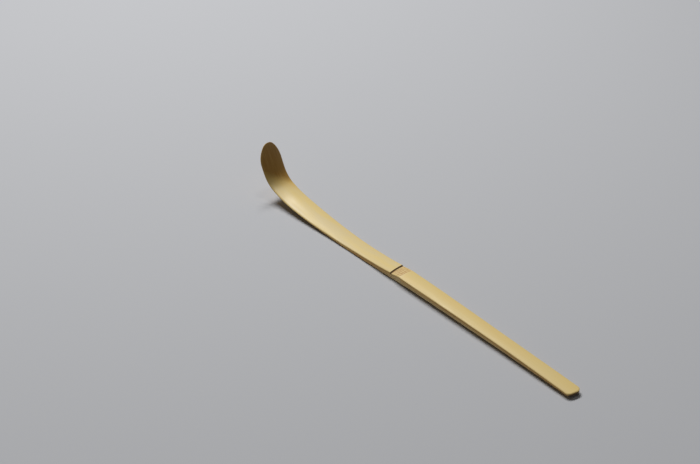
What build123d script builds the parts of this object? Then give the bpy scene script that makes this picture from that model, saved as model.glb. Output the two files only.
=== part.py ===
from build123d import *

import os
from math import asin, atan2, cos, degrees, radians, sin

os.makedirs("parts", exist_ok=True)

# A bamboo tea scoop, carved from one split of a culm with its outer rind left on top.
# It lies on the table as it is put down: +X points to the scoop, +Z is the rind side,
# and the strip is alike on both sides of the XZ plane.

# The strip as it lies, in millimetres
overall_length = 169.2
grip_length = 89.55
culm_radius = 24.0
rind_thickness = 0.35

# Widths across the strip, from the butt to the scoop
butt_width = 5.85
grip_waist_width = 5.6
grip_swell_width = 6.28
node_width = 6.75
hollow_width = 6.95
waist_width = 7.65
rise_width = 9.05
lift_width = 10.1
shoulder_width = 10.25
bend_width = 10.45
curl_width = 10.7
scoop_width = 10.75

# How far from the butt the grip is narrowest, and where it has swelled again
grip_waist_reach = 27.0
grip_swell_reach = 62.0

# Heights of the rind above the table
butt_height = 2.2
ridge_height = 3.85
scar_height = 2.95
lip_height = 3.32
waist_height = 1.9

# The node: a ridge whose flank falls to the scar that the culm's sheath left
ridge_back = 1.2
ridge_flank = 4.0
ridge_round = 4.0
scar_width = 0.6
scar_depth = 0.4

# The cross wall of the culm, cut flush with the underside
wall_at_diaphragm = 3.1
diaphragm_width = 1.2
diaphragm_flare = 0.5

# The blade hollows down to its waist, lifts off the table and curls up into the scoop
waist_reach = 26.3
lift_angle = 7.6
shoulder_radius = 48.0
shoulder_angle = 19.7
bend_radius = 9.7
view_angle = 50
curl_angle = 63.8
scoop_length = 13.2
tip_angle = 74.7
tip_thickness = 1.1

# The rounded nose, and the knife's bevels under the edges and round the butt
nose_length = 8.8
nose_radius = 3.7
bevel = 0.55
butt_corner = 1.7

# Waste that the blanks carry past the finished faces, and how much of a face's direction
# has to point down for the knife to count it as underside
waste = 1.0
downward_share = 0.1

# Places along the strip
butt_x = -overall_length / 2
scar_x = butt_x + grip_length
lip_x = scar_x + scar_width
crest_x = scar_x - ridge_flank
node_x = crest_x - ridge_back
waist_x = lip_x + waist_reach
diaphragm_x = (node_x + lip_x) / 2

# The grip falls from the ridge to the butt along one flat arc, level at the ridge
grip_reach = crest_x - butt_x
grip_fall = ridge_height - butt_height
grip_radius = (grip_reach**2 + grip_fall**2) / (2 * grip_fall)

# The hollow runs from the lip down to the waist, where it is level
waist_drop = lip_height - waist_height
hollow_radius = (waist_reach**2 + waist_drop**2) / (2 * waist_drop)
fall_angle = degrees(asin(waist_reach / hollow_radius))
scoop_radius = scoop_length / radians(tip_angle - curl_angle)


def arc_reach(radius, start_angle, end_angle):
    """How far along X an arc runs while it turns up from one slope to another."""
    return radius * (sin(radians(end_angle)) - sin(radians(start_angle)))


# The back of the nose reaches furthest, and the rise takes the length that is left
curl_reach = (
    arc_reach(shoulder_radius, lift_angle, shoulder_angle)
    + arc_reach(bend_radius, shoulder_angle, curl_angle)
    + arc_reach(scoop_radius, curl_angle, tip_angle)
    + tip_thickness * sin(radians(view_angle)) / cos(radians(tip_angle - view_angle))
    - bevel * cos(radians(tip_angle))
)
rise_radius = (overall_length / 2 - waist_x - curl_reach) / sin(radians(lift_angle))

# The culm's own axis under the grip and the node, which are not bent
culm_axis = Axis((0, 0, ridge_height - culm_radius), (1, 0, 0))


# Crest line of the blade: the middle of its rind side
with BuildLine(Plane.XZ) as blade_line:
    lead_in = PolarLine(
        (lip_x - waste * cos(radians(fall_angle)), lip_height + waste * sin(radians(fall_angle))),
        waste,
        angle=-fall_angle,
    )
    hollow = JernArc(lead_in @ 1, lead_in % 1, hollow_radius, fall_angle)
    rise = JernArc(hollow @ 1, hollow % 1, rise_radius, lift_angle)
    shoulder = JernArc(rise @ 1, rise % 1, shoulder_radius, shoulder_angle - lift_angle)
    bend = JernArc(shoulder @ 1, shoulder % 1, bend_radius, curl_angle - shoulder_angle)
    scoop = JernArc(bend @ 1, bend % 1, scoop_radius, tip_angle - curl_angle)
    run_out = Line(scoop @ 1, scoop @ 1 + (scoop % 1) * waste)


# Knife work on the grip: a slightly waisted plan with a rounded butt, bevelled underneath
with BuildPart() as grip_blank:
    with BuildSketch() as grip_plan:
        with BuildLine():
            grip_side = Spline(
                (butt_x, butt_width / 2),
                (butt_x + grip_waist_reach, grip_waist_width / 2),
                (butt_x + grip_swell_reach, grip_swell_width / 2),
                (lip_x, node_width / 2),
            )
            Polyline(grip_side @ 1, (lip_x, 0), (butt_x, 0), grip_side @ 0)
        make_face()
        mirror(about=Plane.XZ)
        fillet(grip_plan.vertices().group_by(Axis.X)[0], butt_corner)
    extrude(amount=ridge_height + waste)
    underside_edges = grip_blank.edges().group_by(Axis.Z)[0]
    chamfer(underside_edges.sort_by(Axis.X)[:-1], bevel)


def culm_profile(height_under_crest):
    """Side view of the culm's wall over the grip, from the waste under the table to the rind."""
    reach = grip_reach + waste
    radius = grip_radius - height_under_crest
    with BuildSketch(Plane.XZ) as profile:
        with BuildLine():
            crest = JernArc(
                (crest_x, ridge_height - height_under_crest),
                (-1, 0),
                radius,
                degrees(asin(reach / radius)),
            )
            Polyline(crest @ 1, (butt_x - waste, -waste), (crest_x, -waste), crest @ 0)
        make_face()
    return profile.sketch


# The culm's wall is round about its own axis, so the grip gets its crown by turning
with BuildPart() as grip_wall:
    revolve(culm_profile(0), axis=culm_axis)

with BuildPart() as grip_flesh_wall:
    revolve(culm_profile(rind_thickness), axis=culm_axis)

with BuildPart() as grip_strip:
    add(grip_blank.part)
    add(grip_wall.part, mode=Mode.INTERSECT)
    split(bisect_by=Plane.YZ.offset(node_x), keep=Keep.BOTTOM)

# Flesh of the grip, from the butt to the node
with BuildPart() as grip_body:
    add(grip_strip.part)
    add(grip_flesh_wall.part, mode=Mode.INTERSECT)
grip_body.part.label = "grip_body"

# Rind of the grip
with BuildPart() as grip_skin:
    add(grip_strip.part)
    add(grip_flesh_wall.part, mode=Mode.SUBTRACT)
grip_skin.part.label = "grip_skin"


# Root of the cross wall, wider where it runs into the culm's wall
with BuildPart() as diaphragm_root:
    with BuildSketch(Plane.XZ):
        with BuildLine():
            Polyline(
                (diaphragm_x - diaphragm_width / 2, -waste),
                (diaphragm_x - diaphragm_width / 2, 0),
                (diaphragm_x - diaphragm_width / 2 - diaphragm_flare, ridge_height - wall_at_diaphragm),
                (diaphragm_x + diaphragm_width / 2 + diaphragm_flare, ridge_height - wall_at_diaphragm),
                (diaphragm_x + diaphragm_width / 2, 0),
                (diaphragm_x + diaphragm_width / 2, -waste),
                close=True,
            )
        make_face()
    revolve(axis=culm_axis)
    add(grip_blank.part, mode=Mode.INTERSECT)
diaphragm_root.part.label = "diaphragm_root"

# Node: ridge, flank and the seat that the scar lies in
with BuildPart() as node_ridge:
    with BuildSketch(Plane.XZ) as node_profile:
        with BuildLine():
            crest = JernArc(
                (crest_x, ridge_height),
                (-1, 0),
                grip_radius,
                degrees(asin(ridge_back / grip_radius)),
            )
            Polyline(
                crest @ 1,
                (node_x, -waste),
                (lip_x, -waste),
                (lip_x, scar_height - scar_depth),
                (scar_x, scar_height - scar_depth),
                (scar_x, scar_height),
                crest @ 0,
            )
        make_face()
        fillet(node_profile.vertices().sort_by(Axis.Y)[-1], ridge_round)
    revolve(axis=culm_axis)
    add(grip_blank.part, mode=Mode.INTERSECT)
    add(diaphragm_root.part, mode=Mode.SUBTRACT)
node_ridge.part.label = "node_ridge"

# Scar of the culm's sheath: a dark corky band, a step down from the blade to the flank
with BuildPart() as sheath_scar:
    with BuildSketch(Plane.XZ):
        with BuildLine():
            Polyline(
                (scar_x, scar_height),
                (lip_x, lip_height),
                (lip_x, scar_height - scar_depth),
                (scar_x, scar_height - scar_depth),
                close=True,
            )
        make_face()
    revolve(axis=culm_axis)
    add(grip_blank.part, mode=Mode.INTERSECT)
sheath_scar.part.label = "sheath_scar"


# The blade is flat on the table as far as its waist, then thins evenly to the tip
lifted_length = rise.length + shoulder.length + bend.length + scoop.length


def underside(line, run):
    """Place under the end of a line, square to it, run being the way there from the waist."""
    thickness = waist_height + (tip_thickness - waist_height) * run / lifted_length
    top = line @ 1
    slope = line % 1
    return (top.X + slope.Z * thickness, top.Z - slope.X * thickness)


# Plan of the blade, seen square to a plane between the table and the scoop,
# so that one outline runs through the bend and the nose is bevelled from behind
view_plane = Plane(
    origin=(0, 0, 0),
    x_dir=(cos(radians(view_angle)), 0, sin(radians(view_angle))),
    z_dir=(-sin(radians(view_angle)), 0, cos(radians(view_angle))),
)


def seen(line, share, width):
    """A point of the blade's edge in that view."""
    return (view_plane.to_local_coords(line @ share).X, width / 2)


# The nose is a side arc that runs into a tighter round tip
widest = seen(scoop, 1 - nose_length / scoop_length, scoop_width)
nose_run = seen(scoop, 1, 0)[0] - widest[0]
side_run = nose_run - nose_radius
half_scoop = scoop_width / 2
side_radius = (side_run**2 + half_scoop**2 - nose_radius**2) / (2 * (half_scoop - nose_radius))
side_angle = degrees(atan2(side_run, side_radius - half_scoop))

with BuildPart() as blade_blank:
    with BuildSketch(Plane.XZ):
        with BuildLine():
            on_table = Line((lip_x - waste, 0), (waist_x, 0))
            run = rise.length
            under_rise = TangentArc(on_table @ 1, underside(rise, run), tangent=on_table % 1)
            run += shoulder.length
            under_shoulder = TangentArc(
                under_rise @ 1, underside(shoulder, run), tangent=under_rise % 1
            )
            run += bend.length
            under_bend = TangentArc(
                under_shoulder @ 1, underside(bend, run), tangent=under_shoulder % 1
            )
            run += scoop.length
            under_scoop = TangentArc(
                under_bend @ 1, underside(run_out, run), tangent=under_bend % 1
            )
            Polyline(
                under_scoop @ 1,
                ((run_out @ 1).X - waste, (run_out @ 1).Z),
                (lip_x - waste, ridge_height + waste),
                on_table @ 0,
            )
        make_face()
    extrude(amount=scoop_width, both=True)
    with BuildSketch(view_plane):
        with BuildLine():
            root = Line(
                (seen(lead_in, 0, node_width)[0] - ridge_height, node_width / 2),
                seen(hollow, 0, node_width),
            )
            edge = Spline(
                root @ 1,
                seen(hollow, 0.5, hollow_width),
                seen(hollow, 1, waist_width),
                seen(rise, 0.5, rise_width),
                seen(rise, 1, lift_width),
                seen(shoulder, 1, shoulder_width),
                seen(bend, 0.5, bend_width),
                seen(bend, 1, curl_width),
                widest,
                tangents=[(1, 0), (1, 0)],
            )
            side = JernArc(edge @ 1, edge % 1, side_radius, -side_angle)
            nose = JernArc(side @ 1, side % 1, nose_radius, side_angle - 90)
            Polyline(nose @ 1, ((root @ 0).X, 0), root @ 0)
        make_face()
        mirror(about=Plane.XZ)
    extrude(amount=overall_length, both=True, mode=Mode.INTERSECT)
    split(bisect_by=Plane.YZ.offset(lip_x), keep=Keep.TOP)
    underside_faces = blade_blank.faces().filter_by(
        lambda face: face.normal_at().Z < -downward_share
    )
    chamfer(underside_faces.edges().filter_by(Axis.Y, reverse=True), bevel)


def culm_section(radius):
    """The culm's round, seen along the strip from its bent end, down to the waste."""
    with BuildSketch(Plane(origin=lead_in @ 0, x_dir=(0, 1, 0), z_dir=lead_in % 0)) as section:
        with Locations((0, -culm_radius)):
            Circle(radius)
        Rectangle(scoop_width + waste, 2 * (ridge_height + waste), mode=Mode.INTERSECT)
    return section.sketch


# The culm's wall again, bent along the blade
with BuildPart() as blade_wall:
    sweep(culm_section(culm_radius), path=blade_line.wire())

with BuildPart() as blade_flesh_wall:
    sweep(culm_section(culm_radius - rind_thickness), path=blade_line.wire())

with BuildPart() as blade_strip:
    add(blade_blank.part)
    add(blade_wall.part, mode=Mode.INTERSECT)

# Flesh of the blade, through the bend into the scoop
with BuildPart() as blade_body:
    add(blade_strip.part)
    add(blade_flesh_wall.part, mode=Mode.INTERSECT)
blade_body.part.label = "blade_body"

# Rind of the blade, which is also the scoop's inner face
with BuildPart() as blade_skin:
    add(blade_strip.part)
    add(blade_flesh_wall.part, mode=Mode.SUBTRACT)
blade_skin.part.label = "blade_skin"

export_step(grip_body.part, "parts/grip_body.step")
export_step(grip_skin.part, "parts/grip_skin.step")
export_step(node_ridge.part, "parts/node_ridge.step")
export_step(sheath_scar.part, "parts/sheath_scar.step")
export_step(diaphragm_root.part, "parts/diaphragm_root.step")
export_step(blade_body.part, "parts/blade_body.step")
export_step(blade_skin.part, "parts/blade_skin.step")
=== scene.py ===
import math

import bmesh
import bpy
import numpy as np
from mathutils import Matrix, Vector, noise


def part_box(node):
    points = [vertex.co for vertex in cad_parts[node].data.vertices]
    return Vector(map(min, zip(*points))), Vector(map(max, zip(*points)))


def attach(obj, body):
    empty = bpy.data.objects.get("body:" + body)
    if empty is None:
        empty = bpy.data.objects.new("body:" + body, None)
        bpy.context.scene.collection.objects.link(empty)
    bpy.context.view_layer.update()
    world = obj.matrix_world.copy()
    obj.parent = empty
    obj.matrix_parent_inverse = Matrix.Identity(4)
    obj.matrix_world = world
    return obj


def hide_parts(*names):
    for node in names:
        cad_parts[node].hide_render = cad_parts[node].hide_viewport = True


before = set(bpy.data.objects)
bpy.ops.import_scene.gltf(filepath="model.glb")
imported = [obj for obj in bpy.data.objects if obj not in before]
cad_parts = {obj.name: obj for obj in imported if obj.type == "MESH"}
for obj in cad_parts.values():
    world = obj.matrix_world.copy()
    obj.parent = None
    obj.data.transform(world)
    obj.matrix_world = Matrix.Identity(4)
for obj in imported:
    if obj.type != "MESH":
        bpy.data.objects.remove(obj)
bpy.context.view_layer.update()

mm = 0.001
print("frame loaded:", len(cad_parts), "nodes")

# The split of culm that the whole scoop is carved from
split = {
    "culmRadius": 24.0 * mm,
    "rindThickness": 0.35 * mm,
    "rindRings": 2,                        # faces over its thickness
    "easedRadius": 0.8 * mm,               # the rind's edges are scraped round
    "easedTilt": math.radians(36),         # and turn down as far as this
    "bevel": 0.55 * mm,                    # the knife's bevel round the underside
    "gripBevel": 1.25 * mm,                # it is cut deeper where the fingers hold
    "bevelRun": 13.0 * mm,                 # and deepens over this length, from the lip back
    "edgeLines": (0, 0.06, 0.14, 0.25, 0.4, 0.56, 0.72, 1.0),   # mm in from an edge
    "innerLines": 20,                      # even spaces between the innermost edge lines
    "stationStep": 0.45 * mm,
    "leastWall": 0.04 * mm,                # flesh that is always left under the rind
    "weld": 1e-4 * mm,                     # points closer than this become one
    "sharpAngle": 30,                      # degrees, above which an edge is shaded sharp
    "handWander": 0.06 * mm,               # how far a hand-cut side strays from its line
    "handLength": 11.0 * mm,
    # long waves and finer ones: share, waves in that length, and two places in the noise
    "strays": ((1.0, 1.0, 7.3, 0.4), (0.4, 3.1, 3.9, 2.2)),
    "nodeJog": 0.2 * mm,                   # the fibres step aside at the node
    "jogLength": 3.5 * mm,                 # most of all this far past where the node begins
    # the grip's right side bellies out and the scoop leans that way, in mm at mm past the lip
    "bellyPlaces": (-12, 0),
    "bellies": (0.17, 0.0),
    "leanPlaces": (55, 72, 90),
    "leans": (0.0, 0.26, 0.32),
}

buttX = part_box("grip_body")[0].x
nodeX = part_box("grip_skin")[1].x
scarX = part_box("sheath_scar")[0].x
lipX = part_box("blade_skin")[0].x
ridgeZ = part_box("node_ridge")[1].z
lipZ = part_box("sheath_scar")[1].z
tipX = max((v.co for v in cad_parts["blade_skin"].data.vertices), key=lambda co: co.z).x


def smooth(value):
    # 0 up to 0, 1 from 1 on, smooth between
    share = min(1.0, max(0.0, value))
    return share * share * (3 - 2 * share)


def crown(y, radius):
    # how far the culm's round has fallen away at y
    return radius - math.sqrt(radius * radius - y * y)


def easedDrop(inset):
    # how far the scraped edge has fallen away, this far in from it
    reach = split["easedRadius"] * math.sin(split["easedTilt"])
    return crown(reach - inset, split["easedRadius"]) if inset < reach else 0.0


def bevelRise(x, inset):
    # how high the bevel lifts the underside, this far in from the edge
    deeper = (split["gripBevel"] - split["bevel"]) * smooth((lipX - x) / split["bevelRun"])
    return max(0.0, split["bevel"] + deeper - max(inset, 0.0))


def culmDepth(y, height, radius):
    # how deep a point lies under the culm's rind; height is from the crest, down is negative
    return max(0.0, radius - math.hypot(y, radius + height))


def handCut(x, y, half):
    # both sides stray from their lines a little, each in its own way
    side = 1 if y > 0 else -1
    stray = 0.0
    for share, waves, sideNoise, downNoise in split["strays"]:
        place = x / split["handLength"] * waves, sideNoise * side, downNoise
        stray += share * noise.noise(Vector(place))
    jog = split["nodeJog"] * math.exp(-((x - nodeX) / split["jogLength"] - 1.0) ** 2)
    past = (x - lipX) / mm
    lean = np.interp(past, split["leanPlaces"], split["leans"]) * mm
    belly = np.interp(past, split["bellyPlaces"], split["bellies"]) * mm if side < 0 else 0.0
    return y + (side * split["handWander"] * stray - belly) * abs(y) / half - jog - lean


def edgePlaces(half):
    # places across the strip, close together at both edges
    insets = [line * mm for line in split["edgeLines"]]
    inner = half - insets[-1]
    count = split["innerLines"]
    low = [-(half - inset) for inset in insets[:-1]]
    middle = [-inner + 2 * inner * i / count for i in range(count + 1)]
    return low + middle + [-y for y in reversed(low)]


spacesAcross = len(edgePlaces(1.0)) - 1


def evenPlaces(start, end, step):
    count = max(1, round((end - start) / step))
    return [start + (end - start) * i / count for i in range(count + 1)]


def splineSlopes(places, values, endSlopes=None):
    # slopes of the smooth curve through these points, free at both ends unless slopes are given
    gaps, rises = np.diff(places), np.diff(values)
    count = len(places)
    rows, right = np.zeros((count, count)), np.zeros(count)
    for i in range(1, count - 1):
        rows[i, i - 1:i + 2] = gaps[i], 2 * (gaps[i] + gaps[i - 1]), gaps[i - 1]
        right[i] = 3 * (gaps[i] * rises[i - 1] / gaps[i - 1] + gaps[i - 1] * rises[i] / gaps[i])
    if endSlopes:
        rows[0, 0] = rows[-1, -1] = 1
        right[0], right[-1] = endSlopes
    else:
        rows[0, :2], rows[-1, -2:] = (2, 1), (1, 2)
        right[0], right[-1] = 3 * rises[0] / gaps[0], 3 * rises[-1] / gaps[-1]
    return np.linalg.solve(rows, right)


def alongSpline(place, places, values, slopes):
    i = min(max(int(np.searchsorted(places, place)) - 1, 0), len(places) - 2)
    gap = places[i + 1] - places[i]
    t = (place - places[i]) / gap
    return (values[i] * (1 + 2 * t) * (1 - t) ** 2 + values[i + 1] * t * t * (3 - 2 * t)
            + gap * slopes[i] * t * (1 - t) ** 2 - gap * slopes[i + 1] * t * t * (1 - t))


def unitBlock(along, across, sideRings):
    # a block of quads with its corners at 0 and 1, gridded above and below, ringed round its sides
    bm = bmesh.new()
    bmesh.ops.create_grid(bm, x_segments=along, y_segments=across, size=0.5)
    bmesh.ops.translate(bm, verts=bm.verts, vec=(0.5, 0.5, 0))
    raised = bmesh.ops.extrude_face_region(bm, geom=bm.faces[:])["geom"]
    raised = [part for part in raised if isinstance(part, bmesh.types.BMVert)]
    bmesh.ops.translate(bm, verts=raised, vec=(0, 0, 1))
    upright = [edge for edge in bm.edges if edge.verts[0].co.z != edge.verts[1].co.z]
    bmesh.ops.subdivide_edges(bm, edges=upright, cuts=sideRings - 1, use_grid_fill=True)
    return bm


def carve(name, along, sideRings, place, sharpAngle=split["sharpAngle"]):
    # place turns a block's station, line and height share into a point, where that grew in the
    # culm, and how far in from the edge it is
    bm = unitBlock(along, spacesAcross, sideRings)
    grown = bm.verts.layers.float_vector.new("grown")
    inset = bm.verts.layers.float.new("edgeInset")
    for vert in bm.verts:
        station, line = round(vert.co.x * along), round(vert.co.y * spacesAcross)
        vert.co, vert[grown], vert[inset] = place(station, line, vert.co.z)
    bmesh.ops.remove_doubles(bm, verts=bm.verts, dist=split["weld"])
    bmesh.ops.recalc_face_normals(bm, faces=bm.faces)
    for edge in bm.edges:
        edge.smooth = edge.calc_face_angle(0) < math.radians(sharpAngle)
    for face in bm.faces:
        face.smooth = True
    mesh = bpy.data.meshes.new(name)
    bm.to_mesh(mesh)
    bm.free()
    piece = bpy.data.objects.new(name, mesh)
    bpy.context.scene.collection.objects.link(piece)
    return piece


# The grip: flat under, slightly waisted, falling from the ridge to the butt along one arc
grip = {
    "buttHeight": 2.2 * mm,
    "buttCorner": 1.7 * mm,
    "cornerTurns": (70, 75, 80, 85),       # degrees round the corner, for rows past the edge lines
    "sidePlaces": (0, 27.0, 62.0),         # mm from the butt; the last width is at the lip
    "sideWidths": (5.85, 5.6, 6.28, 6.75),
    "crestToScar": 4.0 * mm,
    "fleshRings": 14,                      # faces over a side's height
    "buttSkew": 1.1 * mm,                  # the butt is sawn a little off square
    "skewFrom": -0.4,                      # from this share of the half width on
    "skewLength": 7.0 * mm,
}

# The node: a rounded ridge whose flank falls to the scar, over the root of the culm's cross wall
node = {
    "ridgeRound": 2.4 * mm,
    "ridgeSkew": 1.4 * mm,                 # the ridge runs a little aslant
    "flankFoot": 2.95 * mm,
    "seatDepth": 0.4 * mm,
    "wallRootHalf": 0.85 * mm,
    "wallRootHeight": 0.75 * mm,
    "step": 0.16 * mm,
    "sharpStep": 0.008 * mm,               # how far a cut wall leans
    "rings": 14,                           # faces over a side's height
    "rootStations": 12,
    "rootRings": 3,
    "grainHeight": 0.035 * mm,             # relief of the wavy cross grain on the flank
    "grainWaves": (2.4, 0.35, 4.0),        # waves per mm along and across, and place in the noise
    "fineWaves": (5.2, 0.9, 9.0),
    "fineShare": 0.5,
    "sway": 0.5,                           # how far a wave swings, in waves
    "swayTurn": 1.1,                       # radians of that swing per mm across
}
crestX = scarX - grip["crestToScar"]
seatZ = node["flankFoot"] - node["seatDepth"]
gripFall = ridgeZ - grip["buttHeight"]
gripRadius = ((crestX - buttX) ** 2 + gripFall ** 2) / (2 * gripFall)
sidePlaces = [buttX + reach * mm for reach in grip["sidePlaces"]] + [lipX]
sideValues = [width * mm / 2 for width in grip["sideWidths"]]
sideSlopes = splineSlopes(sidePlaces, sideValues)


def gripCrest(x, y):
    # one arc from the butt, rounded over the ridge and down its flank
    aslant = min(1.0, max(0.0, 0.5 - y / sideValues[-1] / 2))
    ridgeX = crestX - node["ridgeSkew"] * aslant
    slope = math.atan((ridgeZ - node["flankFoot"]) / (scarX - ridgeX))
    tangent = node["ridgeRound"] * math.tan(slope / 2)
    if x > ridgeX + tangent * math.cos(slope):
        return ridgeZ - (x - ridgeX) * math.tan(slope)
    onArc = min(x, ridgeX - tangent)
    return ridgeZ - crown(crestX - onArc, gripRadius) - crown(x - onArc, node["ridgeRound"])


def buttCut(x, y):
    run = min(1.0, (x - buttX) / grip["skewLength"])
    drift = max(0.0, y / sideValues[0] - grip["skewFrom"]) / (1 - grip["skewFrom"])
    return x + grip["buttSkew"] * (1 - run) ** 2 * drift


def gripSide(x):
    return alongSpline(x, sidePlaces, sideValues, sideSlopes)


def gripHalf(x):
    side, corner, run = gripSide(x), grip["buttCorner"], x - buttX
    if run >= corner:
        return side
    return side - corner + math.sqrt(max(0.0, corner ** 2 - (corner - run) ** 2))


def gripInset(x, y):
    side, corner, run = gripSide(x), grip["buttCorner"], x - buttX
    if run < corner and abs(y) > side - corner:
        return max(0.0, corner - math.hypot(corner - run, abs(y) - (side - corner)))
    return min(run, side - abs(y))


def carveGrip():
    corner = grip["buttCorner"]
    stations = [buttX + line * mm for line in split["edgeLines"]]
    for turn in grip["cornerTurns"]:
        stations.append(buttX + corner * (1 - math.cos(math.radians(turn))))
    stations += evenPlaces(buttX + corner, nodeX, split["stationStep"])
    lines = [edgePlaces(gripHalf(x)) for x in stations]
    rind = split["rindThickness"]

    def levels(station, line):
        x, y = stations[station], lines[station][line]
        crest, inset = gripCrest(x, y), gripInset(x, y)
        radius = split["culmRadius"] - (ridgeZ - crest)
        seam = crest - radius + math.sqrt((radius - rind) ** 2 - y * y)
        return x, y, crest, radius, inset, seam

    def placed(x, y, z, crest, radius, inset):
        point = buttCut(x, y), handCut(x, y, gripSide(x)), z
        return point, (x, y, culmDepth(y, z - crest, radius)), inset

    def skinPlace(station, line, share):
        x, y, crest, radius, inset, seam = levels(station, line)
        top = crest - crown(y, radius) - easedDrop(inset)
        return placed(x, y, seam + (top - seam) * share, crest, radius, inset)

    def fleshPlace(station, line, share):
        x, y, crest, radius, inset, seam = levels(station, line)
        under = bevelRise(x, inset)
        return placed(x, y, under + (seam - under) * share, crest, radius, inset)

    skin = carve("gripRind", len(stations) - 1, split["rindRings"], skinPlace)
    flesh = carve("gripFlesh", len(stations) - 1, grip["fleshRings"], fleshPlace)
    return skin, flesh


gripRind, gripFlesh = carveGrip()
print("grip carved")


def lumpAt(x, y, waves, sway=0.0):
    along, across, downNoise = waves
    return noise.noise(Vector((x / mm * along + sway, y / mm * across, downNoise)))


def crossGrain(x, y):
    # wavy fibres that run across the flank and die out over the crest
    share = min(1.0, max(0.0, (x - nodeX) / (scarX - nodeX)))
    sway = node["sway"] * math.sin(y / mm * node["swayTurn"])
    wave = lumpAt(x, y, node["grainWaves"], sway)
    wave += node["fineShare"] * lumpAt(x, y, node["fineWaves"])
    return node["grainHeight"] * wave * share


def carveNode():
    sharp, step = node["sharpStep"], node["step"]
    wallX = (nodeX + lipX) / 2
    low, high = wallX - node["wallRootHalf"], wallX + node["wallRootHalf"]
    stations = evenPlaces(nodeX, low - sharp, step) + evenPlaces(low, high, step)
    stations += evenPlaces(high + sharp, scarX, step) + [scarX + sharp, lipX]
    lines = [edgePlaces(gripHalf(x)) for x in stations]

    def nodePlace(station, line, share):
        x, y = stations[station], lines[station][line]
        inset = gripInset(x, y)
        crest = gripCrest(min(x, scarX), y)
        radius = split["culmRadius"] - (ridgeZ - crest)
        top = crest - crown(y, radius) - easedDrop(inset) + crossGrain(x, y)
        if x > scarX + sharp / 2:          # under the scar
            top = seatZ - crown(y, radius)
        under = bevelRise(x, inset)
        if low - sharp / 2 < x < high + sharp / 2:
            under = node["wallRootHeight"]
        z = under + (top - under) * share
        point = x, handCut(x, y, gripHalf(x)), z
        return point, (x, y, culmDepth(y, z - crest, radius)), inset

    def rootPlace(station, line, share):
        x = low + sharp + (high - low - 2 * sharp) * station / node["rootStations"]
        y = edgePlaces(gripHalf(x))[line]
        inset = gripInset(x, y)
        under, top = bevelRise(x, inset), node["wallRootHeight"] - sharp
        z = under + (top - under) * share
        return (x, handCut(x, y, gripHalf(x)), z), (x, y, ridgeZ - z), inset

    ridge = carve("nodeRidge", len(stations) - 1, node["rings"], nodePlace)
    root = carve("wallRoot", node["rootStations"], node["rootRings"], rootPlace)
    return ridge, root


nodeRidge, wallRoot = carveNode()

# The scar: a thin crumbling band of cork
scar = {
    "stations": 8,                         # rows of faces from the flank to the lip
    "rings": 4,
    "slope": 1.6,                          # over 1, the band is hollow from the flank to the lip
    "sunk": 0.07 * mm,
    "crumble": 0.06 * mm,
    "crumbWaves": (4.0, 2.6, 8.0),         # as the waves of the node's grain
    "ragged": 0.07 * mm,                   # how far its edge on the flank frays
    "raggedWaves": 2.1,
    "raggedNoise": (5.0, 1.0),
    "sharpAngle": 50,
}


def carveScar():
    def scarPlace(station, line, share):
        across = station / scar["stations"]
        x = scarX + (lipX - scarX) * across
        y = edgePlaces(gripHalf(x))[line]
        inset = gripInset(x, y)
        crest = node["flankFoot"] + (lipZ - node["flankFoot"]) * across ** scar["slope"]
        radius = split["culmRadius"] - (ridgeZ - crest)
        lump = scar["crumble"] * lumpAt(x, y, scar["crumbWaves"])
        sunk = scar["sunk"] * math.sin(math.pi * across)
        top = crest - crown(y, radius) - easedDrop(inset) - sunk + lump
        bottom = seatZ - crown(y, radius)
        z = bottom + (top - bottom) * share
        frayed = 0.0
        if station in (0, 1):
            frayNoise = noise.noise(Vector((y / mm * scar["raggedWaves"], *scar["raggedNoise"])))
            frayed = scar["ragged"] * frayNoise * share
        point = x + frayed, handCut(x, y, gripHalf(x)), z
        return point, (x, y, culmDepth(y, z - crest, radius)), inset

    return carve("sheathScar", scar["stations"], scar["rings"], scarPlace, scar["sharpAngle"])


sheathScar = carveScar()
print("node, wall root and scar carved")

# The blade: carved straight, then bent along its crest line
blade = {
    "waistReach": 26.3 * mm,
    "waistHeight": 1.9 * mm,
    "liftAngle": math.radians(7.6),
    "shoulderRadius": 48.0 * mm,
    "shoulderAngle": math.radians(19.7),
    "bendRadius": 9.7 * mm,
    "curlAngle": math.radians(63.8),
    "scoopLength": 13.2 * mm,
    "tipAngle": math.radians(74.7),
    "tipThickness": 1.1 * mm,
    "viewAngle": math.radians(50),         # the outline is drawn on a plane that rises so
    "noseLength": 8.8 * mm,
    "noseRadius": 3.7 * mm,
    "fleshRings": 10,                      # faces over a side's height
    "noseStations": 26,                    # rows of faces that curve round with the nose
    # width at a share of one of the crest line's arcs, in mm
    "widths": (("hollow", 0.0, 6.75), ("hollow", 0.5, 6.95), ("hollow", 1.0, 7.65),
               ("rise", 0.5, 9.05), ("rise", 1.0, 10.1), ("shoulder", 1.0, 10.25),
               ("bend", 0.5, 10.45), ("bend", 1.0, 10.7)),
    "scoopWidth": 10.75 * mm,
    "leastHalf": 1.0 * mm,                 # the knife strays less where the half is under this
    # the knife leans, so the sides flare out to the underside: mm of flare at mm past the lip
    "flarePlaces": (0, 14, 24, 36),
    "flares": (0.0, 0.3, 0.2, 0.0),
}


def arcReach(radius, startAngle, endAngle):
    return radius * (math.sin(endAngle) - math.sin(startAngle))


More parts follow.
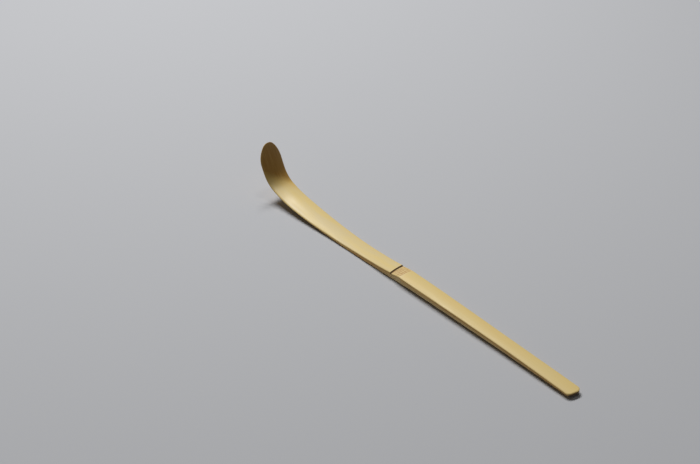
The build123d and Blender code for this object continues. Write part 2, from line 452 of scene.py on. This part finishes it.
def crestArcs():
    # the arcs of the crest line, each from where the last one ends
    drop = lipZ - blade["waistHeight"]
    hollowRadius = (blade["waistReach"] ** 2 + drop ** 2) / (2 * drop)
    fall = math.asin(blade["waistReach"] / hollowRadius)
    lift, shoulder = blade["liftAngle"], blade["shoulderAngle"]
    curl, tip = blade["curlAngle"], blade["tipAngle"]
    scoopRadius = blade["scoopLength"] / (tip - curl)
    curled = (arcReach(blade["shoulderRadius"], lift, shoulder)
              + arcReach(blade["bendRadius"], shoulder, curl) + arcReach(scoopRadius, curl, tip))
    riseRadius = (tipX - lipX - blade["waistReach"] - curled) / math.sin(lift)
    arcs, start, x, z = {}, 0.0, lipX, lipZ
    for name, radius, first, last in (
            ("hollow", hollowRadius, -fall, 0.0), ("rise", riseRadius, 0.0, lift),
            ("shoulder", blade["shoulderRadius"], lift, shoulder),
            ("bend", blade["bendRadius"], shoulder, curl), ("scoop", scoopRadius, curl, tip)):
        length = radius * (last - first)
        arcs[name] = {"start": start, "length": length, "radius": radius, "angle": first,
                      "x": x, "z": z}
        start += length
        x += arcReach(radius, first, last)
        z += radius * (math.cos(first) - math.cos(last))
    return arcs


crestLine = crestArcs()
waistRun = crestLine["rise"]["start"]
bladeRun = crestLine["scoop"]["start"] + crestLine["scoop"]["length"]
widestRun = bladeRun - blade["noseLength"]


def crestAt(run):
    arc = next(a for a in reversed(crestLine.values()) if run >= a["start"] - 1e-9)
    angle = arc["angle"] + (run - arc["start"]) / arc["radius"]
    x = arc["x"] + arcReach(arc["radius"], arc["angle"], angle)
    z = arc["z"] + arc["radius"] * (math.cos(arc["angle"]) - math.cos(angle))
    return x, z, angle


def bent(run, y, height):
    # a point of the straight strip after the maker has bent it; the nose is cut back from behind,
    # and the end at the scar stands upright
    x, z, angle = crestAt(run)
    ahead = smooth((run - widestRun) / blade["noseLength"])
    back = height * math.tan(angle - blade["viewAngle"]) * ahead
    return (max(lipX, x - math.sin(angle) * height + math.cos(angle) * back), y,
            z + math.cos(angle) * height + math.sin(angle) * back)


def seenRun(run):
    # how far along a point lies when the outline is seen square
    x, z, _ = crestAt(run)
    return x * math.cos(blade["viewAngle"]) + z * math.sin(blade["viewAngle"])


outlinePlaces = [seenRun(crestLine[arc]["start"] + crestLine[arc]["length"] * share)
                 for arc, share, _ in blade["widths"]]
outlinePlaces.append(seenRun(widestRun))
outlineValues = [width * mm / 2 for _, _, width in blade["widths"]] + [blade["scoopWidth"] / 2]
outlineSlopes = splineSlopes(outlinePlaces, outlineValues, (0, 0))

# The nose is a side arc that runs into a tighter round tip
halfScoop, noseRadius = blade["scoopWidth"] / 2, blade["noseRadius"]
noseCentre = seenRun(bladeRun) - noseRadius
sideRun = seenRun(bladeRun) - seenRun(widestRun) - noseRadius
sideRadius = (sideRun ** 2 + halfScoop ** 2 - noseRadius ** 2) / (2 * (halfScoop - noseRadius))
turnAngle = math.atan2(sideRadius - halfScoop, sideRun)


def bladeHalf(run):
    seen = seenRun(run)
    if run <= widestRun:
        return alongSpline(seen, outlinePlaces, outlineValues, outlineSlopes)
    if seen <= noseCentre + noseRadius * math.cos(turnAngle):
        sideReach = math.sqrt(sideRadius ** 2 - (seen - outlinePlaces[-1]) ** 2)
        return halfScoop - sideRadius + sideReach
    return math.sqrt(max(0.0, noseRadius ** 2 - (seen - noseCentre) ** 2))


def bladeInset(run, y):
    if run <= widestRun:
        return bladeHalf(run) - abs(y)
    seen = seenRun(run)
    ahead = seen - noseCentre
    if ahead > 0 and math.atan2(abs(y), ahead) < turnAngle:
        return max(0.0, noseRadius - math.hypot(ahead, y))
    aside = abs(y) + sideRadius - halfScoop
    return max(0.0, sideRadius - math.hypot(seen - outlinePlaces[-1], aside))


def bladeThickness(run):
    _, z, angle = crestAt(run)
    if run <= waistRun:
        return z / math.cos(angle)
    share = (run - waistRun) / (bladeRun - waistRun)
    return blade["waistHeight"] + (blade["tipThickness"] - blade["waistHeight"]) * share


def bladePlaces():
    # rows straight across the strip, then rows that curve round with the nose
    rows = [[(run, y) for y in edgePlaces(bladeHalf(run))]
            for run in evenPlaces(0, widestRun, split["stationStep"])]
    shares = [y / halfScoop for y in edgePlaces(halfScoop)]
    length = blade["noseLength"]
    fronts = [1 - line * mm / length for line in reversed(split["edgeLines"])]
    evenly = evenPlaces(0, fronts[0], fronts[0] / blade["noseStations"])
    for u in evenly[1:] + fronts[1:]:
        row = []
        for v in shares:
            # a square's rows and lines drawn round, and kept just short of the very tip
            ahead = min(u * math.sqrt(1 - v * v / 2), 1 - 1e-6)
            aside = v * math.sqrt(1 - u * u / 2)
            run = widestRun + length * ahead
            row.append((run, aside / math.sqrt(1 - ahead * ahead) * bladeHalf(run)))
        rows.append(row)
    return rows


def carveBlade():
    rows = bladePlaces()
    radius, rind = split["culmRadius"], split["rindThickness"]

    def seamHeight(y):
        return math.sqrt((radius - rind) ** 2 - y * y) - radius

    def placed(run, y, height, inset):
        cut = handCut(lipX + run, y, max(bladeHalf(run), blade["leastHalf"]))
        grown = lipX + run, y, culmDepth(y, height, radius)
        return bent(run, cut, height), grown, inset

    def skinPlace(station, line, share):
        run, y = rows[station][line]
        inset, seam = bladeInset(run, y), seamHeight(y)
        top = -crown(y, radius) - easedDrop(inset)
        return placed(run, y, seam + (top - seam) * share, inset)

    def fleshPlace(station, line, share):
        run, y = rows[station][line]
        inset, seam = bladeInset(run, y), seamHeight(y)
        under = bevelRise(lipX + run, inset) - bladeThickness(run)
        under = min(under, seam - split["leastWall"])
        flare = np.interp(run / mm, blade["flarePlaces"], blade["flares"]) * mm * (1 - share)
        wide = y * (1 + flare / max(bladeHalf(run), blade["leastHalf"]))
        return placed(run, wide, under + (seam - under) * share, inset)

    skin = carve("bladeRind", len(rows) - 1, split["rindRings"], skinPlace)
    flesh = carve("bladeFlesh", len(rows) - 1, blade["fleshRings"], fleshPlace)
    return skin, flesh


bladeRind, bladeFlesh = carveBlade()
print("blade carved and bent")


class Finish:
    # one material's node tree, with a single method that makes nodes
    def __init__(self, name):
        self.material = bpy.data.materials.new(name)
        self.material.use_nodes = True
        self.tree = self.material.node_tree
        self.tree.nodes.clear()

    def node(self, kind, settings=None, values=None, output=0):
        made = self.tree.nodes.new("ShaderNode" + kind)
        for name, setting in (settings or {}).items():
            setattr(made, name, setting)
        for name, value in (values or {}).items():
            if isinstance(value, Shade):
                self.tree.links.new(value.socket, made.inputs[name])
            elif made.inputs[name].type == "RGBA":
                made.inputs[name].default_value = (*value, 1)
            else:
                made.inputs[name].default_value = value
        return Shade(self, made.outputs[output]) if made.outputs else None

    def maths(self, operation, *terms):
        return self.node("Math", {"operation": operation}, dict(enumerate(terms)))

    def vector(self, operation, *terms):
        return self.node("VectorMath", {"operation": operation}, dict(enumerate(terms)))

    def blend(self, share, first, second, how="MIX"):
        settings = {"data_type": "RGBA", "blend_type": how, "clamp_result": True}
        return self.node("Mix", settings, {0: share, 6: first, 7: second}, 2)

    def between(self, value, low, high, share=1.0):
        # 0 below low, the share above high, smooth between
        values = {0: value, 1: low, 2: high, 3: 0.0, 4: share}
        return self.node("MapRange", {"interpolation_type": "SMOOTHSTEP"}, values)

    def tint(self, colour, over, mask, band, how="MIX"):
        # lays another colour over this one where the mask rises through the band
        return self.blend(self.between(mask, *band), colour, over, how)

    def grain(self, place, along, across, detail, rough, shift=0.0):
        # noise with so many waves per millimetre along the fibre and across it
        drawn = self.vector("MULTIPLY_ADD", place, (along, across, across), (shift, shift, shift))
        values = {"Vector": drawn, "Scale": 1.0, "Detail": detail, "Roughness": rough}
        return self.node("TexNoise", None, values)

    def bump(self, height, strength, distance):
        values = {"Strength": strength, "Distance": distance, "Height": height}
        return self.node("Bump", None, values)

    def parts(self, vector):
        made = self.node("SeparateXYZ", None, {0: vector}).socket.node
        return [Shade(self, socket) for socket in made.outputs]

    def done(self, values):
        shader = self.node("BsdfPrincipled", None, values)
        self.node("OutputMaterial", None, {"Surface": shader})
        return self.material


class Shade:
    # one socket, so that shader maths is written as Python
    def __init__(self, finish, socket):
        self.finish = finish
        self.socket = socket

    def __add__(self, other):
        return self.finish.maths("ADD", self, other)

    def __radd__(self, other):
        return self.finish.maths("ADD", other, self)

    def __sub__(self, other):
        return self.finish.maths("SUBTRACT", self, other)

    def __rsub__(self, other):
        return self.finish.maths("SUBTRACT", other, self)

    def __mul__(self, other):
        return self.finish.maths("MULTIPLY", self, other)

    def __rmul__(self, other):
        return self.finish.maths("MULTIPLY", other, self)

    def __truediv__(self, other):
        return self.finish.maths("DIVIDE", self, other)

    def __rtruediv__(self, other):
        return self.finish.maths("DIVIDE", other, self)


def linear(red, green, blue):
    # a colour as seen on screen, turned into light
    def light(part):
        return part / 12.92 if part <= 0.04045 else ((part + 0.055) / 1.055) ** 2.4

    return tuple(light(part / 255) for part in (red, green, blue))


# Bamboo, drawn where it grew in the culm, so that one pattern runs on from piece to piece
bamboo = {
    "gold": linear(223, 196, 130),
    "straw": linear(222, 198, 134),
    "pale": linear(217, 197, 147),
    "worn": linear(216, 190, 126),
    "fibre": linear(190, 158, 88),
    "dense": linear(234, 192, 118),
    "flesh": linear(230, 200, 142),
    "pith": linear(236, 210, 158),
    "bundle": linear(182, 138, 72),
    # darker end grain, and painted shade for the sawn end, which is turned from the light
    "endGrainAndShade": linear(96, 68, 42),
    # scorch and toast: the flame's browning, and partly painted shade on the scoop
    "scorchAndShade": linear(176, 137, 72),
    "toastAndShade": linear(208, 172, 92),
    "knot": linear(221, 195, 138),
    "stroke": linear(164, 116, 62),
    "cork": linear(98, 72, 40),
    "corkLight": linear(142, 108, 64),
}

# In the finishes below, a grain is waves per mm along and across the fibre, detail, roughness
# and place in the noise. A band is where a tint or a roughness begins and where it is full, and
# then how strong that is, if it isn't 1. A bump is its strength and its height.


def grownPlace(finish):
    # mm along the fibre, across it, and deep under the rind
    grown = finish.node("Attribute", {"attribute_name": "grown"}, None, "Vector")
    return finish.vector("MULTIPLY", grown, (1 / mm, 1 / mm, 1 / mm))


def edgeInset(finish):
    return finish.node("Attribute", {"attribute_name": "edgeInset"}, None, "Fac") * (1 / mm)


fleshLook = {
    "fleshBand": (0.6, 1.9),               # mm under the rind
    "pithBand": (2.2, 3.8),                # mm under the rind
    "cloud": (0.03, 0.5, 3.0, 0.55, 3.0),
    "cloudBand": (0.35, 0.7, 0.35),
    "wander": (0.02, 0.3, 1.0, 0.5, 11.0),
    "wanderAcross": 1.4,
    "wanderDeep": 0.8,
    "bundleWaves": (0.012, 1.5, 1.5),
    "bundleShift": (0, 4.0, 9.0),
    "bundleSize": 0.34,
    "smallerBand": (0.5, 3.5, 0.14),       # mm under the rind, over which the bundles get smaller
    "bundleBand": (0.55, 1.0),
    "bundleShare": 0.5,
    "streak": (0.07, 4.0, 3.0, 0.6, 5.0),
    "streakBand": (0.5, 0.72, 0.45),
    "streakRelief": 0.6,
    "bundleRelief": 0.5,
    # the sawn end's darkening: partly end grain, partly painted shade
    "endGrainShadeBand": (0.05, 1.4),               # mm from the butt
    "endGrainShadeShare": 0.85,
    "rough": 0.62,
    "roughGrain": (0.1, 3.0, 2.0, 0.5, 6.0),
    "roughShare": 0.2,
    "bump": (0.6, 0.05 * mm),
    "specular": 0.3,
}


def fleshColour(finish, place, depth):
    # fibre bundles run the length of the culm, thick under the rind and thinner further in
    look = fleshLook
    cloud = finish.grain(place, *look["cloud"])
    colour = finish.tint(bamboo["dense"], bamboo["flesh"], depth, look["fleshBand"])
    colour = finish.tint(colour, bamboo["pith"], depth, look["pithBand"])
    colour = finish.tint(colour, bamboo["bundle"], cloud, look["cloudBand"], "MULTIPLY")
    wander = finish.grain(place, *look["wander"])
    strayed = {0: 0.0, 1: wander * look["wanderAcross"], 2: wander * look["wanderDeep"]}
    across = finish.vector("MULTIPLY_ADD", place, look["bundleWaves"], look["bundleShift"])
    across = finish.vector("ADD", across, finish.node("CombineXYZ", None, strayed))
    cell = finish.node("TexVoronoi", {"feature": "F1", "voronoi_dimensions": "3D"},
                       {"Vector": across, "Scale": 1.0})
    size = look["bundleSize"] - finish.between(depth, *look["smallerBand"])
    bundle = 1 - finish.between(cell / size, *look["bundleBand"])
    streak = finish.grain(place, *look["streak"])
    colour = finish.blend(bundle * look["bundleShare"], colour, bamboo["bundle"])
    colour = finish.tint(colour, bamboo["fibre"], streak, look["streakBand"], "MULTIPLY")
    return colour, streak * look["streakRelief"] + bundle * look["bundleRelief"]


def fleshFinish(name):
    finish, look = Finish(name), fleshLook
    place = grownPlace(finish)
    along, _, depth = finish.parts(place)
    colour, relief = fleshColour(finish, place, depth)
    # the butt's sawn end is darkened: partly its end grain, partly painted shade
    start, end = [buttX / mm + reach for reach in look["endGrainShadeBand"]]
    endGrainShade = 1 - finish.between(along, start, end)
    colour = finish.blend(endGrainShade * look["endGrainShadeShare"], colour, bamboo["endGrainAndShade"])
    rough = look["rough"] + finish.grain(place, *look["roughGrain"]) * look["roughShare"]
    return finish.done({"Base Color": colour, "Roughness": rough,
                        "Normal": finish.bump(relief, *look["bump"]),
                        "Specular IOR Level": look["specular"]})


rindLook = {
    "cloud": (0.035, 0.22, 3.0, 0.55),
    "cloudBand": (0.36, 0.64),
    "patch": (0.09, 0.6, 2.0, 0.5, 7.0),
    "patchBand": (0.52, 0.8, 0.3),
    "fibre": (0.05, 5.5, 3.0, 0.65, 2.0),
    "fibreBand": (0.5, 0.78, 0.28),
    "fleck": (1.1, 2.6, 2.0, 0.6, 13.0),
    "fleckBand": (0.6, 0.78, 0.22),
    # painted shade: the right side is tinted a deeper gold, where it catches less sheen
    "rightShadeBand": (0.8, 3.6, 0.45),          # mm to the right of the middle
    "wornInset": (0.25, 0.95),             # mm in from the edge
    "wornLeft": 0.75,
    "lessWorn": (-1.0, 1.0, 0.45),         # less so by this, mm to the right of the middle
    "wornPatch": (0.2, 0.5),
    "wallBand": (0.16, 0.32),              # mm under the face, where the rind's edge is cut
    "rough": 0.35,
    "patchRough": (0.3, 0.7, 0.06),
    "fibreRough": (0.4, 0.8, 0.08),
    "wallRough": (0.1, 0.3, 0.25),
    "bendGloss": (48.0, 64.0, 0.08),       # mm past the lip, and how much less rough
    "fibreRelief": 0.7,
    "fleckRelief": 0.3,
    "bump": (0.35, 0.02 * mm),
    "specular": 0.26,
}

# The maker heats the bend over a flame, which browns the scoop. The brown and the amber toast at
# its edge are also painted shade, for the scoop's inner face, which is turned from the light
scorchAndShade = {
    "toastShadeBand": (66.0, 73.0, 0.75),       # mm past the lip
    "brownAndShadeBand": (70.8, 75.5),             # mm past the lip
    "brownAndShadeShare": 0.97,
    "lessOnWorn": 0.35,                    # less brown on the worn edges
    "ragged": (0.4, 1.6, 3.0, 0.6, 17.0),
    "raggedLength": 1.6,                   # mm that the brown's edge wanders
    # the painted shade reaches less far on the left of the bend, which is lit more
    "aslant": 0.7,                         # mm further on per mm to the left
    "streak": (0.12, 2.6, 3.0, 0.6, 23.0),
    "streakBand": (0.3, 0.7, 0.5),
}


def pastLip(start, end, *share):
    return lipX / mm + start, lipX / mm + end, *share


# paints the flame's brown and the painted shade of the scoop's inner face
def scorchedAndShaded(finish, colour, place, worn):
    along, across, _ = finish.parts(place)
    wander = (finish.grain(place, *scorchAndShade["ragged"]) - 0.5) * scorchAndShade["raggedLength"]
    ragged = along + wander - across * scorchAndShade["aslant"]
    streak = finish.grain(place, *scorchAndShade["streak"])
    tone = finish.tint(bamboo["scorchAndShade"], bamboo["toastAndShade"], streak, scorchAndShade["streakBand"], "MULTIPLY")
    colour = finish.tint(colour, bamboo["toastAndShade"], ragged, pastLip(*scorchAndShade["toastShadeBand"]))
    brownAndShade = finish.between(ragged, *pastLip(*scorchAndShade["brownAndShadeBand"]))
    brownAndShade = brownAndShade * (scorchAndShade["brownAndShadeShare"] - worn * scorchAndShade["lessOnWorn"])
    return finish.blend(brownAndShade, colour, tone)


def rindFinish(name, first, second, scoopBrownAndShade=False):
    finish, look = Finish(name), rindLook
    place, inset = grownPlace(finish), edgeInset(finish)
    along, across, depth = finish.parts(place)
    right = across * -1
    cloud, patch = finish.grain(place, *look["cloud"]), finish.grain(place, *look["patch"])
    fibre, fleck = finish.grain(place, *look["fibre"]), finish.grain(place, *look["fleck"])
    colour = finish.tint(first, second, cloud, look["cloudBand"])
    colour = finish.tint(colour, bamboo["pale"], patch, look["patchBand"])
    colour = finish.tint(colour, bamboo["fibre"], fibre, look["fibreBand"])
    colour = finish.tint(colour, bamboo["fibre"], fleck, look["fleckBand"])
    # painted shade: the right of the rind turns a deeper gold, where it catches less sheen than the
    # left
    colour = finish.tint(colour, bamboo["gold"], right, look["rightShadeBand"])
    worn = 1 - finish.between(inset, *look["wornInset"])
    worn = worn * (look["wornLeft"] - finish.between(right, *look["lessWorn"]))
    rubbed = worn * finish.between(patch, *look["wornPatch"])
    colour = finish.blend(rubbed, colour, bamboo["worn"])
    if scoopBrownAndShade:
        colour = scorchedAndShaded(finish, colour, place, worn)
    colour = finish.tint(colour, bamboo["dense"], depth, look["wallBand"])
    rough = look["rough"] + finish.between(patch, *look["patchRough"])
    rough = rough + finish.between(fibre, *look["fibreRough"])
    rough = rough + finish.between(depth, *look["wallRough"])
    rough = rough - finish.between(along, *pastLip(*look["bendGloss"]))
    height = fibre * look["fibreRelief"] + fleck * look["fleckRelief"]
    return finish.done({"Base Color": colour, "Roughness": rough,
                        "Normal": finish.bump(height, *look["bump"]),
                        "Specular IOR Level": look["specular"]})


nodeLook = {
    "wander": (0.5, 0.35, 2.0, 0.5, 4.0),
    "wanderLength": 1.6,                   # mm that a wave of the cross grain wanders
    "tangle": (0.9, 1.6, 3.0, 0.6, 8.0),
    "flankBand": (-0.9, 0.6),              # mm from the crest
    "waveLength": 0.95,                    # mm from stroke to stroke
    "strokeBand": (0.4, 0.95),
    "strokeShare": 0.9,
    "tangleBand": (0.55, 0.75, 0.25),
    # painted shade: the right side is tinted gold, where it catches less sheen
    "rightShadeBand": (0.8, 3.2),                # mm to the right of the middle
    "rightShadeShare": 0.3,
    "wornInset": (0.25, 0.9),              # mm in from the edge
    "wornLeft": 0.7,
    "lessWorn": 0.5,                       # on the golden side
    "knotBand": (0.35, 0.65, 0.6),
    "wallBand": (0.3, 0.5),                # mm under the face
    "rough": 0.44,
    "wallRough": (0.2, 0.5, 0.22),
    "tangleRough": (0.4, 0.8, 0.06),
    "waveRelief": 0.7,
    "sideRelief": 0.3,
    "bump": (0.5, 0.04 * mm),
    "specular": 0.4,
}


def nodeFinish(name):
    finish, look = Finish(name), nodeLook
    place, inset = grownPlace(finish), edgeInset(finish)
    along, across, depth = finish.parts(place)
    wander, tangle = finish.grain(place, *look["wander"]), finish.grain(place, *look["tangle"])
    aslant = 0.5 - across / (2 * sideValues[-1] / mm)
    past = along + aslant * (node["ridgeSkew"] / mm)
    start, end = [crestX / mm + reach for reach in look["flankBand"]]
    onFlank = finish.between(past, start, end)
    turn = (past + wander * look["wanderLength"]) * (2 * math.pi / look["waveLength"])
    wave = finish.maths("SINE", turn) * 0.5 + 0.5
    strokes = finish.between(wave, *look["strokeBand"]) * onFlank * look["strokeShare"]
    colour = finish.blend(onFlank, bamboo["straw"], bamboo["knot"])
    colour = finish.blend(strokes, colour, bamboo["stroke"])
    colour = finish.tint(colour, bamboo["pale"], tangle, look["tangleBand"])
    # painted shade: the right of the ridge turns gold, where it catches less sheen; the worn tint
    # is less there
    rightShade = finish.between(across * -1, *look["rightShadeBand"])
    colour = finish.blend(rightShade * look["rightShadeShare"], colour, bamboo["gold"])
    worn = 1 - finish.between(inset, *look["wornInset"])
    worn = worn * (look["wornLeft"] - rightShade * look["lessWorn"])
    colour = finish.blend(worn, colour, bamboo["worn"])
    side, relief = fleshColour(finish, place, depth)
    side = finish.tint(side, bamboo["pith"], tangle, look["knotBand"])
    colour = finish.tint(colour, side, depth, look["wallBand"])
    height = wave * look["waveRelief"] + relief * look["sideRelief"]
    rough = look["rough"] + finish.between(depth, *look["wallRough"])
    rough = rough + finish.between(tangle, *look["tangleRough"])
    return finish.done({"Base Color": colour, "Roughness": rough,
                        "Normal": finish.bump(height, *look["bump"]),
                        "Specular IOR Level": look["specular"]})


corkLook = {
    "crumb": (3.0, 3.0, 4.0, 0.65, 2.0),
    "crumbBand": (0.5, 0.8, 0.5),
    "lump": (0.6, 1.1, 2.0, 0.5, 9.0),
    "lumpBand": (0.5, 0.75, 0.3),
    "rough": 0.85,
    "lumpRough": 0.1,
    "bump": (0.8, 0.08 * mm),
}


def corkFinish(name):
    finish, look = Finish(name), corkLook
    place = grownPlace(finish)
    crumb, lump = finish.grain(place, *look["crumb"]), finish.grain(place, *look["lump"])
    colour = finish.tint(bamboo["cork"], bamboo["corkLight"], crumb, look["crumbBand"])
    colour = finish.tint(colour, bamboo["corkLight"], lump, look["lumpBand"])
    return finish.done({"Base Color": colour, "Roughness": look["rough"] + lump * look["lumpRough"],
                        "Normal": finish.bump(crumb, *look["bump"])})


wallRootLook = {
    "grit": (2.0, 3.2, 3.0, 0.6, 3.0),
    "gritBand": (0.52, 0.72, 0.5),
    "cloud": (0.5, 0.7, 2.0, 0.5, 6.0),
    "cloudBand": (0.35, 0.65),
    "rough": 0.7,
    "cloudRough": 0.1,
    "bump": (0.6, 0.05 * mm),
}


def wallRootFinish(name):
    finish, look = Finish(name), wallRootLook
    place = grownPlace(finish)
    grit, cloud = finish.grain(place, *look["grit"]), finish.grain(place, *look["cloud"])
    colour = finish.tint(bamboo["pith"], bamboo["flesh"], cloud, look["cloudBand"])
    colour = finish.tint(colour, bamboo["bundle"], grit, look["gritBand"])
    rough = look["rough"] + cloud * look["cloudRough"]
    return finish.done({"Base Color": colour, "Roughness": rough,
                        "Normal": finish.bump(grit, *look["bump"])})


finishes = {
    # the blade's rind mixes in the paler colour where the grip's has gold: painted sheen, for the
    # haze of light that the blade catches
    "gripRind": rindFinish("gripRind", bamboo["gold"], bamboo["straw"]),
    "bladeRind": rindFinish("bladeRind", bamboo["straw"], bamboo["pale"], scoopBrownAndShade=True),
    "flesh": fleshFinish("bambooFlesh"),
    "node": nodeFinish("nodeTissue"),
    "cork": corkFinish("scarCork"),
    "root": wallRootFinish("wallRoot"),
}
for piece, nodeName, slot, finishName in (
        (gripRind, "grip_skin", "bamboo_rind", "gripRind"),
        (gripFlesh, "grip_body", "bamboo_flesh", "flesh"),
        (nodeRidge, "node_ridge", "node_tissue", "node"),
        (wallRoot, "diaphragm_root", "diaphragm_wood", "root"),
        (sheathScar, "sheath_scar", "scar_cork", "cork"),
        (bladeRind, "blade_skin", "bamboo_rind", "bladeRind"),
        (bladeFlesh, "blade_body", "bamboo_flesh", "flesh")):
    piece.data.materials.append(finishes[finishName])
    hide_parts(nodeName)
    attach(piece, "root")
print("finishes done:", ", ".join(finishes))

# The table, the lights and the camera
stage = {
    "floorSize": 6.0,
    "floorColour": linear(185, 186, 189),
    "floorRoughness": 0.9,
    "worldStrength": 0.06,
    "lamps": {                             # direction from the scoop, distance, size and watts
        "keyLight": ((0.5, -0.18, 0.85), 0.95, (0.54, 0.2), 8.3),
        "topLight": ((0.06, -0.17, 0.98), 1.0, (0.14, 0.14), 0.6),
    },
    "cameraPlace": (-248.88 * mm, 257.31 * mm, 304.64 * mm),
    "cameraTurn": (51.88, 0.0, -132.49),
    "cameraLens": 61.71,
    "sensorWidth": 36.0,
    "cameraShift": (-0.5 / 700, 0.5 / 700),   # half a pixel of the photograph's frame
    "clipStart": 10 * mm,
}


def layFloor():
    bm = bmesh.new()
    bmesh.ops.create_grid(bm, x_segments=1, y_segments=1, size=stage["floorSize"] / 2)
    mesh = bpy.data.meshes.new("table")
    bm.to_mesh(mesh)
    bm.free()
    table = bpy.data.objects.new("table", mesh)
    bpy.context.scene.collection.objects.link(table)
    tableTop = {"Base Color": stage["floorColour"], "Roughness": stage["floorRoughness"]}
    table.data.materials.append(Finish("tableTop").done(tableTop))
    return table


floor = layFloor()

world = bpy.data.worlds.new("room")
world.use_nodes = True
background = world.node_tree.nodes["Background"].inputs
background["Color"].default_value = (1, 1, 1, 1)
background["Strength"].default_value = stage["worldStrength"]
bpy.context.scene.world = world

for name, (direction, distance, size, watts) in stage["lamps"].items():
    lamp = bpy.data.lights.new(name, "AREA")
    lamp.shape = "RECTANGLE"
    lamp.size, lamp.size_y = size
    lamp.energy = watts
    holder = bpy.data.objects.new(name, lamp)
    holder.location = Vector(direction).normalized() * distance
    holder.rotation_euler = (-holder.location).to_track_quat("-Z", "Y").to_euler()
    bpy.context.scene.collection.objects.link(holder)

cameraData = bpy.data.cameras.new("camera")
cameraData.lens = stage["cameraLens"]
cameraData.sensor_width = stage["sensorWidth"]
cameraData.clip_start = stage["clipStart"]
cameraData.shift_x, cameraData.shift_y = stage["cameraShift"]
camera = bpy.data.objects.new("camera", cameraData)
camera.location = stage["cameraPlace"]
camera.rotation_euler = [math.radians(turn) for turn in stage["cameraTurn"]]
bpy.context.scene.collection.objects.link(camera)
bpy.context.scene.camera = camera
bpy.context.scene.view_settings.view_transform = "Standard"
print("table, lights and camera set")
